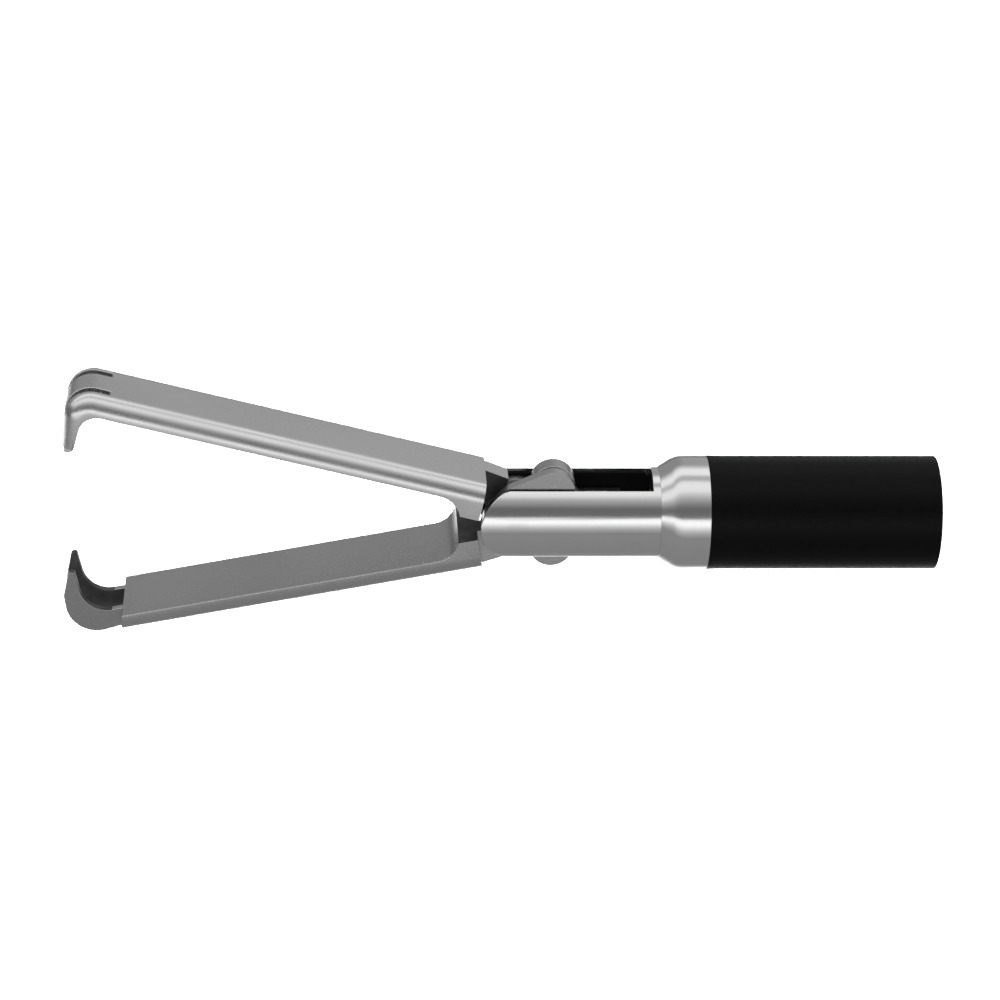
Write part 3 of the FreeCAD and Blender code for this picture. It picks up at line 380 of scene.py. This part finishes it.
JAW_EASE = 0.08
UPPER_LEAN = math.radians(14.15)
LOWER_LEAN = math.radians(-10.85)
ROOT_RADIUS = 6.2
HALF_WIDTH = 3.95
CHANNEL_LIP = 0.75
CHANNEL_MIDDLE = 21.3
CHANNEL_LENGTH = 27.4
CHANNEL_DEPTH = 0.3
CHANNEL_SLACK = 0.2
EDGE_SLACK = 0.02
TEETH_START = 35.5
ROOT_FACE_START = 3.2
ROOT_FACE_END = 5.6
ROOT_FACE_HEIGHT = 1.7
MIDDLE_SLACK = 0.1
SQUARE_ON = 0.9
MOSTLY = 0.6

# Satined stainless steel: fine lines along the blade, which blur the lights into soft bands.
ALONG_BLADE = (0.06, 1.0, 1.0)
upper_steel = brushed_steel("satin_steel_upper", "C6C6C6", roughness=0.29, grain_mm=0.07,
                            stretch=ALONG_BLADE, depth_mm=0.0008, lean=UPPER_LEAN)
lower_steel = brushed_steel("satin_steel_lower", "B5B5B5", roughness=0.27, grain_mm=0.07,
                            stretch=ALONG_BLADE, depth_mm=0.0008, lean=LOWER_LEAN)


def paint_faces(piece, material, chosen):
    """Gives a material to the faces for which chosen(centres in mm, normals) holds."""
    polygons = piece.data.polygons
    centres = np.array([face.center[:] for face in polygons]) / MM
    normals = np.array([face.normal[:] for face in polygons])
    before = np.array([face.material_index for face in polygons])
    piece.data.materials.append(material)
    last = len(piece.data.materials) - 1
    polygons.foreach_set("material_index", np.where(chosen(centres, normals), last, before).astype(np.int32))


def along_lower(points):
    """Distance of points in mm from the pivot line, measured along the lower jaw's blade.

    The way from the pivot towards the tip counts by the cosine of the blade's lean, the height by
    its sine."""
    return (PIVOT - points[..., 0]) * math.cos(LOWER_LEAN) + points[..., 2] * math.sin(LOWER_LEAN)


def above_lower(points):
    """Height of points in mm across the lower jaw's blade, which grows towards the upper jaw.

    The height counts by the cosine of the blade's lean, less the way to the tip by its sine."""
    return points[..., 2] * math.cos(LOWER_LEAN) - (PIVOT - points[..., 0]) * math.sin(LOWER_LEAN)


def upper_root(points):
    """The upper jaw's root, which runs on into the hub without a rounded edge."""
    return from_pivot(points) < ROOT_RADIUS


def on_channel(points):
    """Points in mm on the outline or the floor of the channel in the lower jaw's inner face."""
    beside = np.abs(points[..., 1]) < HALF_WIDTH - CHANNEL_LIP + EDGE_SLACK
    return beside & (np.abs(along_lower(points) - CHANNEL_MIDDLE) < CHANNEL_LENGTH / 2 + CHANNEL_SLACK)


def lower_root_or_channel(points):
    """The lower jaw's root, which runs on into the hub, and the channel, which is ground last."""
    return (from_pivot(points) < ROOT_RADIUS) | on_channel(points)


def slope_channel(piece):
    """Lifts the channel floor's far edge to the inner face, so that the floor slopes to the lip."""
    points = np.array([vertex.co[:] for vertex in piece.data.vertices]) / MM
    on_edge = on_channel(points) & (points[:, 1] > HALF_WIDTH - CHANNEL_LIP - EDGE_SLACK)
    lift = above_lower(points)[on_edge].max() - above_lower(points)
    low = on_edge & (lift < CHANNEL_DEPTH + CHANNEL_SLACK)
    points[low, 0] += lift[low] * math.sin(LOWER_LEAN)
    points[low, 2] += lift[low] * math.cos(LOWER_LEAN)
    piece.data.vertices.foreach_set("co", (points * MM).ravel())


def faces_other_jaw(centres, normals):
    """The half hubs' faces on the middle plane, and the root faces on the closing plane, which get painted
    shade.
    """
    on_middle = (np.abs(centres[:, 1]) < MIDDLE_SLACK) & (np.abs(normals[:, 1]) > SQUARE_ON)
    far_out = (from_pivot(centres) > ROOT_FACE_START) & (from_pivot(centres) < ROOT_FACE_END)
    at_root = far_out & (np.abs(normals[:, 2]) > SQUARE_ON) & (np.abs(centres[:, 2]) < ROOT_FACE_HEIGHT)
    return on_middle | at_root


def on_teeth(centres, normals):
    """The lower jaw's two teeth, beyond the blade."""
    return along_lower(centres) > TEETH_START


def faces_other_jaw_or_tooth(centres, normals):
    """As faces_other_jaw, with the teeth's hollows and the sides that the teeth turn to each other, which
    get painted shade too.
    """
    hollow = (normals[:, 0] + normals[:, 2] > 1 - MOSTLY) & (np.abs(normals[:, 1]) < MOSTLY)
    between = normals[:, 1] * np.sign(centres[:, 1]) < -MOSTLY
    return faces_other_jaw(centres, normals) | on_teeth(centres, normals) & (hollow | between)


# Darker steel on the teeth, less even than the ground blade, with marks in every direction.
darker_tooth_steel = brushed_steel("darker_tooth_steel", "989898", roughness=0.32, grain_mm=0.15,
                            stretch=(1.0, 1.0, 1.0), depth_mm=0.002)

# Painted shade: a dark, cloudy steel that stands for the shade falling between the jaws and between the
# teeth, in patches.
SHADE_PATCH_MM = 1.5
painted_shade_steel, tree, shader = new_material("painted_shade_steel", Metallic=1.0, Roughness=0.5)
place = add_node(tree, "ShaderNodeTexCoord").outputs["Object"]
shade_patches = add_node(tree, "ShaderNodeTexNoise", {"Vector": place, "Scale": 1 / (SHADE_PATCH_MM * MM), "Detail": 4.0})
tint = add_node(tree, "ShaderNodeValToRGB", {"Fac": shade_patches.outputs["Fac"]})
tint.color_ramp.elements[0].color = linear("2E2E2E")
tint.color_ramp.elements[1].color = linear("707070")
tree.links.new(tint.outputs["Color"], shader.inputs["Base Color"])

# Painted shade on the faces between the jaws, and on the teeth's hollows and the sides they turn to each
# other.
upper = eased_copy("upper_jaw", JAW_EASE, upper_steel, "upper_jaw", upper_root)
paint_faces(upper, painted_shade_steel, faces_other_jaw)
lower = eased_copy("lower_jaw", JAW_EASE, lower_steel, "lower_jaw", lower_root_or_channel)
slope_channel(lower)
paint_faces(lower, darker_tooth_steel, on_teeth)
paint_faces(lower, painted_shade_steel, faces_other_jaw_or_tooth)

# Stage: a plain pale floor far below, softboxes above and in front, a lamp that faces away
# from the object and whitens the floor behind it, and the camera 31 cm away at the photo's angle.

PIXEL = 0.0882 * MM
PICTURE_PIXELS = 1000
LENS_PIXELS = 3490
DISTANCE = LENS_PIXELS * PIXEL
AXIS_ROW = 512.2
PIVOT_COLUMN = 516.0
SENSOR_MM = 36.0
AZIMUTH = math.radians(-3.2)
ELEVATION = math.radians(25.2)
CLIP_START = 0.01
CLIP_END = 20.0
back = Vector((math.sin(AZIMUTH) * math.cos(ELEVATION),
               -math.cos(AZIMUTH) * math.cos(ELEVATION), math.sin(ELEVATION)))
right = (Vector((1, 0, 0)) - back * back.x).normalized()
up = back.cross(right)
middle = PICTURE_PIXELS / 2
target = Vector((PIVOT * MM - (PIVOT_COLUMN - middle) * PIXEL, 0, 0))
camera = bpy.data.objects.new("camera", bpy.data.cameras.new("camera"))
camera.data.sensor_width = SENSOR_MM
camera.data.lens = LENS_PIXELS / PICTURE_PIXELS * SENSOR_MM
camera.data.clip_start = CLIP_START
camera.data.clip_end = CLIP_END
turn = Matrix((right, up, back)).transposed().to_4x4()
camera.matrix_world = Matrix.Translation(target + back * DISTANCE + up * (AXIS_ROW - middle) * PIXEL) @ turn
bpy.context.scene.collection.objects.link(camera)
bpy.context.scene.camera = camera

FLOOR_Z = -0.30
FLOOR_HALF = 4.0
floor_mesh = bpy.data.meshes.new("floor")
corner_signs = [(-1, -1), (1, -1), (1, 1), (-1, 1)]
floor_corners = [(x * FLOOR_HALF, y * FLOOR_HALF, FLOOR_Z) for x, y in corner_signs]
floor_mesh.from_pydata(floor_corners, [], [(0, 1, 2, 3)])
floor = bpy.data.objects.new("floor", floor_mesh)
bpy.context.scene.collection.objects.link(floor)
white_paint, tree, shader = new_material("white_paint", Base_Color=linear("B8B8B8"), Roughness=0.9)
floor.data.materials.append(white_paint)


def add_softbox(name, centre, aim, width, height, radiance):
    """A rectangular light of a given brightness, turned towards a point."""
    lamp = bpy.data.lights.new(name, "AREA")
    lamp.shape = "RECTANGLE"
    lamp.size = width
    lamp.size_y = height
    lamp.energy = radiance * math.pi * width * height
    holder = bpy.data.objects.new(name, lamp)
    holder.matrix_world = (Matrix.Translation(Vector(centre))
                           @ (Vector(centre) - Vector(aim)).to_track_quat("Z", "Y").to_matrix().to_4x4())
    bpy.context.scene.collection.objects.link(holder)
    return holder


def softbox_over(name, low, high, radiance, left, right, distance):
    """A softbox seen from the object between two angles in degrees above the front horizon."""
    middle = math.radians((low + high) / 2)
    height = 2 * distance * math.tan(math.radians(high - low) / 2)
    across = Vector(((left + right) / 2, 0, 0))
    centre = Vector((0, -math.cos(middle), math.sin(middle))) * distance
    return add_softbox(name, centre + across, across, right - left, height, radiance)


# Each row is a low and a high angle, and the brightness between them. The first four make the
# narrow band in front, the others a broad band overhead that fades to both sides.
NEAR_LEFT = -1.5
NEAR_RIGHT = 0.8
NEAR_DISTANCE = 0.6
GRADED_LIGHT = [
    (-28, -20, 0.3), (-20, -13, 0.55), (-13, -6, 1.0), (-6, 10, 1.5),
    (36, 44, 0.12), (44, 52, 0.3), (52, 59, 0.52), (59, 66, 0.75), (66, 91, 1.1),
    (91, 105, 0.42), (105, 126, 1.15), (126, 134, 0.6),
]
for low, high, radiance in GRADED_LIGHT:
    softbox_over(f"softbox_{low}_{high}", low, high, radiance, NEAR_LEFT, NEAR_RIGHT, NEAR_DISTANCE)

# The wall behind is brighter to the right. Each row is a left and a right end in metres, and the
# brightness between them.
WALL_LOW = 134
WALL_HIGH = 177
WALL_DISTANCE = 1.3
REAR_WALL = [(-2.6, -0.05, 0.17), (-0.05, 0.08, 0.22), (0.08, 0.2, 0.28), (0.2, 2.6, 0.34)]
for left, right, radiance in REAR_WALL:
    softbox_over(f"rear_wall_{left}", WALL_LOW, WALL_HIGH, radiance, left, right, WALL_DISTANCE)

# The floor lamp hangs behind the object and shines away from it, onto the floor in the picture.
FLOOR_LAMP_PLACE = (0, 0.30, 0.22)
FLOOR_LAMP_AIM = (0, 1.25, -0.09)
FLOOR_LAMP_WIDTH = 1.6
FLOOR_LAMP_HEIGHT = 0.3
FLOOR_LAMP_RADIANCE = 34.0
add_softbox("floor_lamp", FLOOR_LAMP_PLACE, FLOOR_LAMP_AIM, FLOOR_LAMP_WIDTH, FLOOR_LAMP_HEIGHT,
            FLOOR_LAMP_RADIANCE)

ROOM_LIGHT = 0.2
world = bpy.data.worlds.new("studio")
world.use_nodes = True
background = world.node_tree.nodes["Background"]
background.inputs["Color"].default_value = (ROOM_LIGHT, ROOM_LIGHT, ROOM_LIGHT, 1.0)
bpy.context.scene.world = world
bpy.context.scene.view_settings.view_transform = "Standard"
